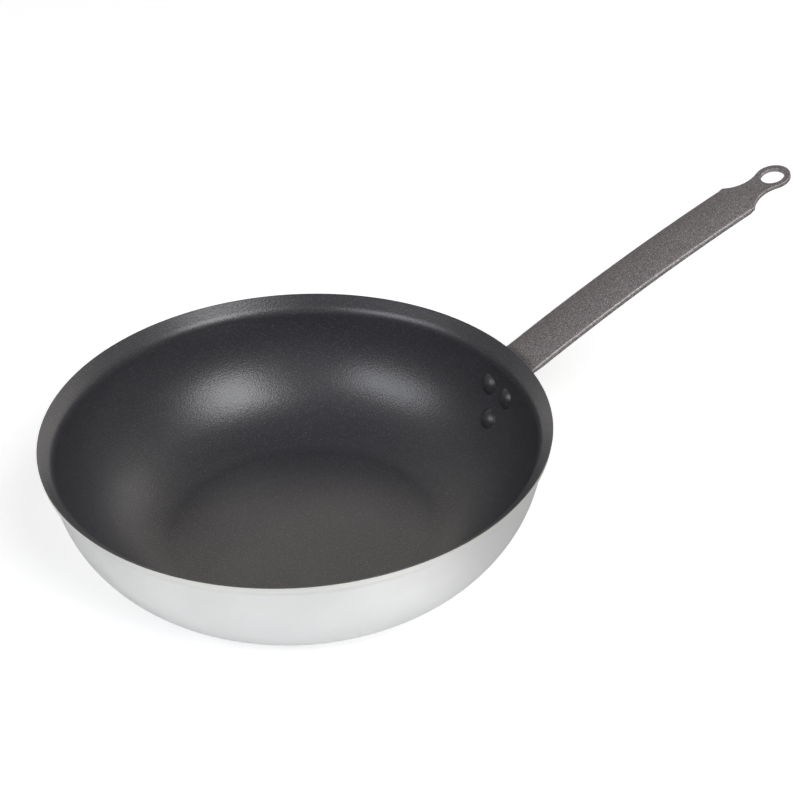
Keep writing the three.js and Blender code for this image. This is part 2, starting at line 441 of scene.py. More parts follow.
@dataclass(frozen=True)
class BareMetal:
    """Satin aluminium with turned lines.

    Args:
        name: name of the material.
        colour: where the metal is clean.
        dull: where it is a little duller.
        roughness: the clean metal's roughness.
        pitch: width of the turned lines in metres.
        relief: depth of the lines in metres.
        patch: size of the duller patches in metres.
        vary: how far the roughness varies to both sides.
    """

    name: str
    colour: Colour
    dull: Colour
    roughness: float
    pitch: float
    relief: float
    patch: float = 0.04
    vary: float = 0.06

    def build(self, effects: Effects) -> bpy.types.Material:
        """Makes the material.

        Args:
            effects: the shared groups.

        Returns:
            The material.
        """
        material, nodes = new_material(self.name)
        place = nodes.add("TexCoord").outputs
        lines = nodes.group(effects.turned, {"Vector": place["UV"], "Pitch": self.pitch}).outputs[0]
        cloud = nodes.group(effects.cloud, {"Vector": place["Object"], "Size": self.patch}).outputs[0]
        bump = nodes.add("Bump", {"Height": lines, "Strength": 1.0, "Distance": self.relief})
        share = nodes.calc("MULTIPLY", lines, cloud)
        shader = nodes.add("BsdfPrincipled", {
            "Base Color": nodes.mix(share, self.colour, self.dull),
            "Metallic": 1.0,
            "Roughness": nodes.spread(lines, self.roughness - self.vary, self.roughness + self.vary),
            "Normal": bump.outputs["Normal"],
        })
        nodes.add("OutputMaterial", {"Surface": shader.outputs["BSDF"]})
        return material


@dataclass(frozen=True)
class SprayedCoat:
    """Non-stick coat: dark, finely pebbled and half matt.

    Args:
        name: name of the material.
        colour: the coat.
        fleck: the lighter flecks in it.
        roughness: its roughness.
        grain: size of the pebbles in metres.
        relief: their height in metres.
        patch: size of the patches of more and less gloss in metres.
        vary: how far the roughness varies to both sides.
        gloss: strength of the mirrored light.
    """

    name: str
    colour: Colour
    fleck: Colour
    roughness: float
    grain: float
    relief: float
    patch: float = 0.06
    vary: float = 0.03
    gloss: float = 0.75

    def build(self, effects: Effects) -> bpy.types.Material:
        """Makes the material.

        Args:
            effects: the shared groups.

        Returns:
            The material.
        """
        material, nodes = new_material(self.name)
        place = nodes.add("TexCoord").outputs["Object"]
        grain = nodes.group(effects.grain, {"Vector": place, "Size": self.grain}).outputs[0]
        cloud = nodes.group(effects.cloud, {"Vector": place, "Size": self.patch}).outputs[0]
        bump = nodes.add("Bump", {"Height": grain, "Strength": 1.0, "Distance": self.relief})
        flecks = nodes.add("TexNoise", {"Vector": place, "Scale": 1.3 / self.grain, "Detail": 1.0})
        share = nodes.step(flecks.outputs["Fac"], 0.55, 0.75)
        shader = nodes.add("BsdfPrincipled", {
            "Base Color": nodes.mix(share, self.colour, self.fleck),
            "Roughness": nodes.spread(cloud, self.roughness - self.vary, self.roughness + self.vary),
            "Specular IOR Level": self.gloss,
            "Normal": bump.outputs["Normal"],
        })
        nodes.add("OutputMaterial", {"Surface": shader.outputs["BSDF"]})
        return material


@dataclass(frozen=True)
class SpeckledEpoxy:
    """Grey powder coat of fine dark and light specks.

    Args:
        name: name of the material.
        dark: the dark specks.
        ground: most of the coat.
        light: the light specks.
        rubbed_and_highlit: light colour of the rubbed edges, which is wear and also paints the edge's
            highlight.
        roughness: its roughness.
        speck: size of the specks in metres.
        relief: height of the peel in metres.
        patch: size of the patches of more and less gloss in metres.
        vary: how far the roughness varies to both sides.
        gloss: strength of the mirrored light.
        rub_and_highlight: how far a rubbed edge lightens the specks, as wear and as a painted highlight.
    """

    name: str
    dark: Colour
    ground: Colour
    light: Colour
    rubbed_and_highlit: Colour
    roughness: float
    speck: float
    relief: float
    patch: float = 0.03
    vary: float = 0.04
    gloss: float = 0.02
    rub_and_highlight: float = 0.27

    def build(self, effects: Effects) -> bpy.types.Material:
        """Makes the material.

        Args:
            effects: the shared groups.

        Returns:
            The material.
        """
        material, nodes = new_material(self.name)
        place = nodes.add("TexCoord").outputs["Object"]
        grain = nodes.group(effects.grain, {"Vector": place, "Size": self.speck}).outputs[0]
        cloud = nodes.group(effects.cloud, {"Vector": place, "Size": self.patch}).outputs[0]
        fine = {"Vector": place, "Scale": 1.0 / self.speck, "Detail": 2.0, "Roughness": 0.7}
        specks = nodes.add("TexNoise", fine).outputs["Fac"]
        # Rubbed edges are lighter: partly wear, partly a painted highlight on the handle's edge
        wear_and_highlight = nodes.add("Attribute", attribute_name="wear_and_highlight").outputs["Fac"]
        lift = nodes.calc("MULTIPLY_ADD", wear_and_highlight, self.rub_and_highlight, specks)
        stops = [(0.36, self.dark), (0.5, self.ground), (0.66, self.light), (0.82, self.rubbed_and_highlit)]
        bump = nodes.add("Bump", {"Height": grain, "Strength": 1.0, "Distance": self.relief})
        shader = nodes.add("BsdfPrincipled", {
            "Base Color": nodes.ramp(lift, stops),
            "Roughness": nodes.spread(cloud, self.roughness - self.vary, self.roughness + self.vary),
            "Specular IOR Level": self.gloss,
            "Normal": bump.outputs["Normal"],
        })
        nodes.add("OutputMaterial", {"Surface": shader.outputs["BSDF"]})
        return material


@dataclass
class Finishes:
    """Every finish on the pan."""

    wall: bpy.types.Material
    edge: bpy.types.Material
    coat: bpy.types.Material
    epoxy: bpy.types.Material
    rivet_coat: bpy.types.Material
    rivet_metal: bpy.types.Material

    @classmethod
    def build(cls, effects: Effects) -> "Finishes":
        """Makes the materials.

        Args:
            effects: the shared groups.

        Returns:
            The finishes.
        """
        wall = BareMetal(
            "satin_aluminium", colour=(0.88, 0.88, 0.875), dull=(0.80, 0.80, 0.79),
            roughness=0.36, pitch=0.0006, relief=0.000004,
        )
        edge = BareMetal(
            "cut_aluminium", colour=(0.86, 0.855, 0.83), dull=(0.79, 0.785, 0.76),
            roughness=0.34, pitch=0.0003, relief=0.000004,
        )
        coat = SprayedCoat(
            "nonstick_coat", colour=(0.043, 0.041, 0.048), fleck=(0.098, 0.094, 0.099),
            roughness=0.33, grain=0.0011, relief=0.00012,
        )
        epoxy = SpeckledEpoxy(
            "speckled_epoxy", dark=(0.108, 0.096, 0.097), ground=(0.208, 0.189, 0.189),
            # the light rubbed-edge colour is wear and also a painted highlight on the handle's edge
            light=(0.350, 0.326, 0.323), rubbed_and_highlit=(0.74, 0.72, 0.70),
            roughness=0.7, speck=0.0007, relief=0.00004,
        )
        rivet_coat = SprayedCoat(
            "coated_head", colour=(0.040, 0.0385, 0.042), fleck=(0.066, 0.064, 0.066),
            roughness=0.36, grain=0.0006, relief=0.00003,
        )
        rivet_metal = BareMetal(
            "upset_aluminium", colour=(0.84, 0.84, 0.83), dull=(0.74, 0.74, 0.73),
            roughness=0.34, pitch=0.0003, relief=0.000006,
        )
        every = (wall, edge, coat, epoxy, rivet_coat, rivet_metal)
        return cls(*(finish.build(effects) for finish in every))


# Pan


@dataclass(frozen=True)
class PanForm:
    """Sizes of the pressed pan on its outer skin, and its meridian.

    Args:
        rim_radius: outside of the lip.
        height: top of the lip.
        sheet: wall thickness.
        lip_reach: how far the lip flares out of the wall.
        lip_turn: how far the lip turns out of the upright, in degrees.
        lip_bend: radius of the bend under the lip that sets the lip's height.
        soft_bend: radius of the bend as it is drawn, eased into the wall.
        base_edge_radius: arc at the edge of the base.
        base_edge_angle: angle of that arc, in degrees.
    """

    rim_radius: float
    height: float
    sheet: float = 2.5
    lip_reach: float = 5.0
    lip_turn: float = 45.0
    lip_bend: float = 3.0
    soft_bend: float = 6.0
    base_edge_radius: float = 45.0
    base_edge_angle: float = 26.0

    @property
    def lip_way(self) -> np.ndarray:
        """Direction up along the lip."""
        return np.array([math.sin(math.radians(self.lip_turn)), math.cos(math.radians(self.lip_turn))])

    def lip_rise(self, depth: float, setback: float) -> float:
        """Height of the lip's edge over the upright wall: R sin t + run / tan t.

        Args:
            depth: depth under the outer skin.
            setback: how far inside the rim the edge lies.

        Returns:
            The height.
        """
        sine, cosine = self.lip_way
        bend = self.lip_bend + depth
        run = self.lip_reach - self.lip_bend + bend * cosine - setback
        return bend * sine + run * cosine / sine

    @property
    def wall_centre(self) -> tuple[float, float]:
        """Centre of the wall's arc."""
        z = self.height - self.lip_rise(self.sheet, 0.0)
        return self.rim_radius - self.lip_reach - self.wall_radius_for(z), z

    def wall_radius_for(self, z: float) -> float:
        """Radius of the wall's arc for a centre at height z."""
        lean = math.cos(math.radians(self.base_edge_angle))
        return self.base_edge_radius + (z - self.base_edge_radius) / lean

    @property
    def wall_radius(self) -> float:
        """Radius of the wall's arc on the outer skin."""
        return self.wall_radius_for(self.wall_centre[1])

    @property
    def flat_radius(self) -> float:
        """Radius of the flat base."""
        difference = self.wall_radius - self.base_edge_radius
        return self.wall_centre[0] + difference * math.sin(math.radians(self.base_edge_angle))

    def eased_bend(self) -> tuple[np.ndarray, float]:
        """Bend that touches the wall's arc and the lip.

        From the lip's end P the centre is c = P + s d + R n, with d up along the lip, n square to it,
        and s so that c lies R outside the wall's arc.

        Returns:
            The centre, and the angle on the wall's arc at which the bend starts, in degrees.
        """
        way = self.lip_way
        wall = np.array(self.wall_centre)
        end = np.array([self.rim_radius, wall[1] + self.lip_rise(0.0, 0.0)])
        start = end + self.soft_bend * np.array([way[1], -way[0]]) - wall
        along = start @ way
        step = math.sqrt(along**2 - start @ start + (self.wall_radius + self.soft_bend) ** 2) - along
        centre = start + step * way
        return wall + centre, math.degrees(math.atan2(centre[1], centre[0]))

    def meridian(self, depth: float, setback: float) -> np.ndarray:
        """Half section at a depth under the outer skin: flat base, two arcs, lip bend and lip.

        Args:
            depth: depth under the outer skin.
            setback: how far inside the rim it ends.

        Returns:
            Points of radius and height, from the axis to the lip.
        """
        x, z = self.wall_centre
        start = self.base_edge_angle - 90.0
        base = self.base_edge_radius
        flat = np.column_stack((np.linspace(0.0, self.flat_radius, 40), np.full(40, depth)))
        centre, touch = self.eased_bend()
        end = np.array([self.rim_radius - setback, z + self.lip_rise(depth, setback)])
        bend = arc(centre, self.soft_bend + depth, 180.0 + touch, 180.0 - self.lip_turn, 18)
        lip = bend[-1] + np.linspace(0.0, 1.0, 9)[1:, None] * (end - bend[-1])
        return np.concatenate((
            flat,
            arc((self.flat_radius, base), base - depth, -90.0, start, 20)[1:],
            arc((x, z), self.wall_radius - depth, start, touch, 56)[1:],
            bend[1:],
            lip,
        ))

    def rounded_edge(
        self, outer: float, inner: float, setback: float, soft: tuple[float, float]
    ) -> np.ndarray:
        """Upright cut edge between two depths, with a softened corner below and above.

        Each corner is the curve (1 - s)^2 A + 2 s (1 - s) B + s^2 C about the sharp corner B.

        Args:
            outer: depth of the lower corner.
            inner: depth of the upper corner.
            setback: how far inside the rim it lies.
            soft: how far the softening reaches from the lower and the upper corner.

        Returns:
            Points of radius and height, from the lower side to the upper side.
        """
        foot = self.wall_centre[1]
        edge = self.rim_radius - setback
        corners = [np.array([edge, foot + self.lip_rise(depth, setback)]) for depth in (outer, inner)]
        skins = [
            np.array([edge - reach, foot + self.lip_rise(depth, setback + reach)])
            for depth, reach in zip((outer, inner), soft)
        ]
        cut = [corners[0] + np.array([0.0, soft[0]]), corners[1] - np.array([0.0, soft[1]])]
        s = np.linspace(0.0, 1.0, 9)[:, None]
        lower = (1.0 - s) ** 2 * skins[0] + 2.0 * s * (1.0 - s) * corners[0] + s**2 * cut[0]
        upper = (1.0 - s) ** 2 * cut[1] + 2.0 * s * (1.0 - s) * corners[1] + s**2 * skins[1]
        return np.concatenate((lower, upper))


@dataclass
class PressedShell:
    """Pressed aluminium pan: satin outside, bare cut edge and the skin under the lining.

    Args:
        form: the pan's sizes.
        setback: how far inside the rim the cut edge lies.
        soft: softening of the cut edge's lower and upper corner.
        segments: steps round the axis.
    """

    form: PanForm
    setback: float = 0.4
    soft: tuple[float, float] = (1.6, 0.3)
    segments: int = 320

    def build(self, finishes: Finishes) -> bpy.types.Object:
        """Turns the closed half section about the axis: (r cos u, r sin u, z).

        Args:
            finishes: the pan's finishes.

        Returns:
            The shell.
        """
        form = self.form
        outer = form.meridian(0.0, self.setback + self.soft[0])
        inner = form.meridian(form.sheet, self.setback + self.soft[1])[::-1]
        edge = form.rounded_edge(0.0, form.sheet, self.setback, self.soft)
        patches = [
            lathe(outer, self.segments),
            lathe(edge, self.segments, 1),
            lathe(inner, self.segments),
        ]
        return build_piece("pressed_shell", patches, [finishes.wall, finishes.edge])


@dataclass
class NonstickLining:
    """Coat over the inside of the pan and the top of its lip.

    Args:
        form: the pan's sizes.
        under: depth of the coat's underside below the pan's outer skin.
        top: depth of its top.
        soft: softening of its rim's lower and upper corner.
        segments: steps round the axis.
    """

    form: PanForm
    under: float = 2.52
    top: float = 3.1
    soft: tuple[float, float] = (0.2, 0.4)
    segments: int = 320

    def build(self, finishes: Finishes) -> bpy.types.Object:
        """Turns the coat's closed half section about the axis: (r cos u, r sin u, z).

        Args:
            finishes: the pan's finishes.

        Returns:
            The lining.
        """
        form = self.form
        lower = form.meridian(self.under, self.soft[0])
        upper = form.meridian(self.top, self.soft[1])[::-1]
        edge = form.rounded_edge(self.under, self.top, 0.0, self.soft)
        patches = [lathe(part, self.segments) for part in (lower, edge, upper)]
        return build_piece("nonstick_lining_coat", patches, [finishes.coat])


# Handle


@dataclass(frozen=True)
class HandleForm:
    """Sizes of the strip handle and its way through space.

    The strip is described flat, by length along its middle and distance to the side, then set in
    space: the foot lies on the wall's arc, a small bend turns it outward and a long arc follows.

    Args:
        pan: the pan that the foot lies on.
        half_width: half the strip's width.
        thickness: the sheet's thickness.
        strip_length: length from the root bend to the eye's centre.
        rise: slope at which the strip leaves the root bend, in degrees.
        curve_radius: radius of the strip's long arc.
        crown: height of the top's arch across the strip.
        fold_depth: how far the folded edges hang below the underside.
        fold_thickness: width of the folded edges.
        fold_radius: rounding of their top corner.
        fold_flat: flat beside a fold on the underside.
        fold_run_in: length over which the folds and the crown grow.
        fold_run_out: lengths before the shoulder at which the folds start and end to fade.
        edge_break: rounding of the other corners.
        drop: how far the top of the foot lies below the rim.
        bend_radius: radius of the root bend.
        foot_gap: gap between foot and wall.
        foot_end_radius: round end of the foot.
        foot_half_width: half the foot's width at the upper rivets.
        rivet_pitch: distance between the two rows of rivets.
        bend_start: length at which the root bend starts.
        hole_radius: radius of the hanging hole.
        eye_radius: outside of the eye.
        neck_half_width: half the neck's width.
        neck_radius: radius of the neck's arcs.
    """

    pan: PanForm
    half_width: float = 15.0
    thickness: float = 2.5
    strip_length: float = 200.0
    rise: float = 26.2
    curve_radius: float = 1300.0
    crown: float = 2.8
    fold_depth: float = 0.8
    fold_thickness: float = 2.0
    fold_radius: float = 1.0
    fold_flat: float = 1.0
    fold_run_in: float = 14.0
    fold_run_out: tuple[float, float] = (4.0, 0.5)
    edge_break: float = 0.4
    drop: float = 15.4
    bend_radius: float = 7.0
    foot_gap: float = 0.3
    foot_end_radius: float = 8.5
    foot_half_width: float = 18.0
    rivet_pitch: float = 19.5
    bend_start: float = 37.9
    hole_radius: float = 7.0
    eye_radius: float = 10.8
    neck_half_width: float = 8.2
    neck_radius: float = 18.5

    @property
    def foot_radius(self) -> float:
        """Radius of the foot's middle on the wall."""
        return self.pan.wall_radius + self.foot_gap + self.thickness / 2.0

    @property
    def bend_heading(self) -> float:
        """Heading of the strip at the top of the foot, in radians."""
        return math.acos((self.pan.wall_centre[1] - self.pan.height + self.drop) / self.foot_radius)

    @property
    def strip_start(self) -> float:
        """Length at which the strip leaves the root bend."""
        return self.bend_start + self.bend_radius * (self.bend_heading - math.radians(self.rise))

    @property
    def eye_centre(self) -> float:
        """Length at the centre of the hanging eye."""
        return self.strip_start + self.strip_length

    @property
    def neck_middle(self) -> float:
        """Length at the narrowest place of the neck."""
        reach = self.neck_radius + self.eye_radius
        return self.eye_centre - math.sqrt(reach**2 - (self.neck_radius + self.neck_half_width) ** 2)

    @property
    def neck_end(self) -> float:
        """Length at which the neck's arc meets the eye."""
        run = self.eye_centre - self.neck_middle
        return self.neck_middle + run * self.neck_radius / (self.neck_radius + self.eye_radius)

    @property
    def shoulder(self) -> float:
        """Length at which the strip's straight side ends."""
        rise = self.neck_radius - (self.half_width - self.neck_half_width)
        return self.neck_middle - math.sqrt(self.neck_radius**2 - rise**2)

    def place(self, along: np.ndarray, side: np.ndarray, up: np.ndarray) -> np.ndarray:
        """Sets flat strip points in space.

        On each arc of the middle line, with heading h, the point is
        centre +- radius (sin h, -cos h) + up (-sin h, cos h); on the foot its side is wrapped
        round the pan's axis by side / x.

        Args:
            along: lengths along the middle.
            side: distances to the side.
            up: heights above the middle.

        Returns:
            The points, with a last axis of three.
        """
        x0, z0 = self.pan.wall_centre
        top, rise = self.bend_heading, math.radians(self.rise)
        from_wall = np.array([math.sin(top), -math.cos(top)])
        bend = np.array([x0, z0]) + (self.foot_radius + self.bend_radius) * from_wall
        from_bend = np.array([math.sin(rise), -math.cos(rise)])
        curve = bend + (self.curve_radius - self.bend_radius) * from_bend
        on_foot, on_bend = along <= self.bend_start, along <= self.strip_start
        heading = np.where(
            on_foot,
            top - (self.bend_start - along) / self.foot_radius,
            np.where(
                on_bend,
                top - (along - self.bend_start) / self.bend_radius,
                rise - (along - self.strip_start) / self.curve_radius,
            ),
        )
        past_foot = np.where(on_bend, self.bend_radius, self.curve_radius)
        radius = np.where(on_foot, -self.foot_radius, past_foot)
        x = np.where(on_foot, x0, np.where(on_bend, bend[0], curve[0])) - radius * np.sin(heading)
        z = np.where(on_foot, z0, np.where(on_bend, bend[1], curve[1])) + radius * np.cos(heading)
        reach = x - up * np.sin(heading)
        wrap = 1.0 - smoothstep(along, self.bend_start, self.strip_start)
        turn = side / x
        return np.stack(
            (
                reach + (reach * np.cos(turn) - reach) * wrap,
                side + (reach * np.sin(turn) - side) * wrap,
                z + up * np.cos(heading),
            ),
            axis=-1,
        )


@dataclass
class StripHandle:
    """Pressed strip handle: riveted foot, root bend, crowned strip with folded edges, neck and eye.

    Args:
        form: the handle's sizes.
        outline_step: distance between outline points.
        steps: outline points from row to row on the foot, the root, the strip and the neck.
        ring_rows: rows round half of the hole.
        tip_rows: rows past the hole.
        columns: points across half of the top and of the underside.
        easing: outline points to each side over which the normals are eased.
        neck_lead: length before the shoulder at which the neck's closer rows start.
        hole_lead: outline points left free before the hole's first row.
        edge_rub_and_highlight: lightening along the corner of the edge, the top's border and the hole;
            wear, and on the edge's corner also a painted highlight.
    """

    form: HandleForm
    outline_step: float = 0.05
    steps: tuple[float, float, float, float] = (16.0, 10.0, 60.0, 8.0)
    ring_rows: int = 37
    tip_rows: int = 40
    columns: int = 13
    easing: int = 16
    neck_lead: float = 8.0
    hole_lead: float = 4.0
    edge_rub_and_highlight: tuple[float, float, float] = (1.0, 0.05, 0.4)

    @property
    def ring_angles(self) -> np.ndarray:
        """Angles of the rows round half of the hole, in radians."""
        return np.radians(np.linspace(-90.0, 90.0, self.ring_rows))

    def outline(self) -> tuple[np.ndarray, np.ndarray]:
        """Left outline of the flat strip, from the foot's end to the eye's end.

        A round end, two smooth steps, a straight side, the neck's arc and the eye's arc.

        Returns:
            Points (length, side) one outline step apart and their outward normals.
        """
        f = self.form
        lower, upper = f.foot_end_radius, f.foot_end_radius + f.rivet_pitch
        a = np.linspace(0.0, math.pi / 2.0, 200)
        foot = np.column_stack((lower * (1.0 - np.cos(a)), lower * np.sin(a)))
        s = np.linspace(lower, upper, 200)
        shield = np.column_stack((s, lower + (f.foot_half_width - lower) * smoothstep(s, lower, upper)))
        s = np.linspace(upper, f.strip_start, 200)
        step = (f.half_width - f.foot_half_width) * smoothstep(s, upper, f.strip_start)
        root = np.column_stack((s, f.foot_half_width + step))
        s = np.linspace(f.shoulder, f.neck_end, 300)
        dip = np.sqrt(f.neck_radius**2 - (s - f.neck_middle) ** 2)
        neck = np.column_stack((s, f.neck_half_width + f.neck_radius - dip))
        a = np.linspace(math.asin((f.neck_end - f.eye_centre) / f.eye_radius), math.pi / 2.0, 300)
        eye = np.column_stack((f.eye_centre + f.eye_radius * np.sin(a), f.eye_radius * np.cos(a)))
        rough = np.concatenate((foot, shield[1:], root[1:], neck, eye[1:]))
        run = np.concatenate(([0.0], np.cumsum(np.hypot(*np.diff(rough, axis=0).T))))
        fine = np.linspace(0.0, run[-1], int(run[-1] / self.outline_step))
        points = np.column_stack([np.interp(fine, run, rough[:, k]) for k in (0, 1)])
        tangent = np.gradient(points, fine, axis=0)
        angle = np.unwrap(np.arctan2(tangent[:, 1], tangent[:, 0]))
        window = np.hanning(2 * self.easing + 1)
        padded = np.pad(angle, self.easing, mode="reflect", reflect_type="odd")
        angle = np.convolve(padded, window / window.sum(), mode="valid")
        normals = np.column_stack((-np.sin(angle), np.cos(angle)))
        normals[0], normals[-1] = (-1.0, 0.0), (1.0, 0.0)
        return points, normals

    def rows(self, inset: np.ndarray) -> tuple[np.ndarray, int]:
        """Outline points at which rows cross the strip.

        Rows are close on the round ends, wide on the strip, and by equal angles round the hole.

        Args:
            inset: lengths of the top face's border at the outline points.

        Returns:
            Row places as fractional numbers of outline points, and the number of the hole's first row.
        """
        f = self.form
        hole = f.eye_centre + (f.hole_radius + f.edge_break) * np.sin(self.ring_angles)
        number = np.arange(len(inset), dtype=float)
        at_hole = np.interp(hole, inset, number)
        places = [f.bend_start, f.strip_start + f.fold_run_in, f.shoulder - self.neck_lead]
        ends = [0.0, *np.interp(places, inset, number), at_hole[0] - self.hole_lead]
        before = np.concatenate([
            np.arange(low, high, step) for low, high, step in zip(ends, ends[1:], self.steps)
        ])
        after = np.linspace(at_hole[-1], number[-1], self.tip_rows)[1:]
        return np.concatenate((before, at_hole, after)), len(before)

    def edge(self, line: np.ndarray, normal: np.ndarray) -> StripGrid:
        """Edge of each row, from the top's border to the underside's.

        Going in by i and up by h from the outline, each corner is a quarter circle
        i = r (1 - sin q), h = r (1 - cos q), and straight runs join the corners.

        Args:
            line: outline points of the rows.
            normal: their outward normals.

        Returns:
            A grid with one row for each outline point.
        """
        f = self.form
        half = f.thickness / 2.0
        fold = self.fold(line[:, 0])[:, None]
        rounding = f.edge_break + (f.fold_radius - f.edge_break) * fold
        small = f.edge_break * np.ones_like(fold)
        inner = small * fold
        inside = small + (f.fold_thickness - small) * fold
        foot = -half - f.fold_depth * fold
        quarter = np.radians(np.linspace(0.0, 90.0, 6))[None, :]
        steps = np.linspace(0.0, 1.0, 4)[None, 1:-1]
        inward = np.concatenate((
            rounding * (1.0 - np.sin(quarter)),
            0.0 * (fold + steps),
            small * (1.0 - np.cos(quarter)),
            small + (inside - inner - small) * steps,
            inside - inner + inner * np.sin(quarter),
            inside + f.fold_flat * fold,
        ), axis=1)
        upward = np.concatenate((
            half - rounding * (1.0 - np.cos(quarter)),
            half - rounding + (foot + small - half + rounding) * steps,
            foot + small * (1.0 - np.sin(quarter)),
            foot + 0.0 * steps,
            foot + inner * (1.0 - np.cos(quarter)),
            -half + 0.0 * fold,
        ), axis=1)
        along = line[:, :1] - inward * normal[:, :1]
        side = np.maximum(line[:, 1:] - inward * normal[:, 1:], 0.0)
        return along, side, upward

    def faces(self, edge: StripGrid, over: np.ndarray, line: np.ndarray, first: int) -> list[StripGrid]:
        """Top and underside, from the middle line or the hole to the edge.

        Their height is level + crown (1 - (side / border)^2).

        Args:
            edge: the rows' edges.
            over: shares of the way across a row.
            line: outline points of the rows.
            first: number of the hole's first row.

        Returns:
            The top's grid and the underside's.
        """
        f = self.form
        half = f.thickness / 2.0
        ring = f.hole_radius + f.edge_break
        crown = self.crown(line[:, 0])[:, None]
        hole = slice(first, first + self.ring_rows)
        middle, clear = edge[0][:, :1].copy(), np.zeros_like(crown)
        middle[hole, 0] = f.eye_centre + ring * np.sin(self.ring_angles)
        clear[hole, 0] = ring * np.cos(self.ring_angles)
        faces = []
        for column, level in ((0, half), (-1, -half)):
            along = middle + (edge[0][:, column, None] - middle) * over
            border = edge[1][:, column, None]
            side = clear + (border - clear) * over
            share = side / np.maximum(border, 1e-6)
            faces.append((along, side, level + crown * (1.0 - share**2)))
        return faces

    def hole_wall(self) -> StripGrid:
        """Wall of half the hole with broken corners: (r sin a, r cos a).

        Returns:
            A grid with one row for each angle.
        """
        f = self.form
        half = f.thickness / 2.0
        a = self.ring_angles[:, None]
        curve = np.radians(np.linspace(0.0, 90.0, 5))[None, :]
        outward = np.concatenate((1.0 - np.sin(curve), 1.0 - np.cos(curve)), axis=1) * f.edge_break
        up = np.concatenate((
            half - f.edge_break * (1.0 - np.cos(curve)),
            -half + f.edge_break * (1.0 - np.sin(curve)),
        ), axis=1)
        radius = f.hole_radius + outward
        return f.eye_centre + radius * np.sin(a), radius * np.cos(a), up + 0.0 * a

    def build(self, finishes: Finishes) -> bpy.types.Object:
        """Builds one half from rows across the strip and mirrors it.

        Each row runs over the crowned top, round the folded edge and back along the underside.

        Args:
            finishes: the pan's finishes.

        Returns:
            The handle.
        """
        f = self.form
        points, normals = self.outline()
        rounding = f.edge_break + (f.fold_radius - f.edge_break) * self.fold(points[:, 0])
        inset = np.maximum.accumulate((points - rounding[:, None] * normals)[:, 0])
        at, first = self.rows(inset + 1e-7 * np.arange(len(inset)))
        number = np.arange(len(points), dtype=float)
        line = np.column_stack([np.interp(at, number, points[:, k]) for k in (0, 1)])
        normal = np.column_stack([np.interp(at, number, normals[:, k]) for k in (0, 1)])
        normal /= np.linalg.norm(normal, axis=1)[:, None]

        over = np.linspace(0.0, 1.0, self.columns)[None, :]
        edge = self.edge(line, normal)
        top, underside = self.faces(edge, over, line, first)
        corner_rub_and_highlight, top_rub, hole_rub = self.edge_rub_and_highlight
        # The lightening, wear and a painted highlight, is strongest half way round the top corner, whose
        # quarter circle has columns 0 to 5
        corner = np.clip(1.0 - np.abs(np.arange(edge[0].shape[1]) - 2.5) / 3.0, 0.0, 1.0)[None, :]
        parts = (
            (top, top_rub * over**12), (underside, 0.0),
            (edge, corner_rub_and_highlight * corner), (self.hole_wall(), hole_rub),
        )
        patches = []
        for (along, side, up), wear_and_highlight in parts:
            for hand in (1.0, -1.0):
                flat = np.stack((along, hand * side), axis=-1)
                patches.append(Patch(f.place(along, hand * side, up), flat, 0, wear_and_highlight))
        return build_piece("strip_handle", patches, [finishes.epoxy])

    def fold(self, along: np.ndarray) -> np.ndarray:
        """How far the edges are folded down: 0 on the foot and the eye, 1 on the strip."""
        f = self.form
        start = smoothstep(along, f.strip_start, f.strip_start + f.fold_run_in)
        fading, gone = f.fold_run_out
        return start * (1.0 - smoothstep(along, f.shoulder - fading, f.shoulder - gone))

    def crown(self, along: np.ndarray) -> np.ndarray:
        """Height of the strip's crown along its length."""
        f = self.form
        start = smoothstep(along, f.strip_start, f.strip_start + f.fold_run_in)
        return f.crown * start * (1.0 - smoothstep(along, f.shoulder - f.fold_run_in, f.neck_middle))


# Rivets


class RivetPlace(Enum):
    """Rivets by CAD node: row along the foot and distance to the side."""

    UPPER_LEFT = ("rivet_upper_left", 28.0, 9.5)
    UPPER_RIGHT = ("rivet_upper_right", 28.0, -9.5)
    LOWER = ("rivet_lower", 8.5, 0.0)


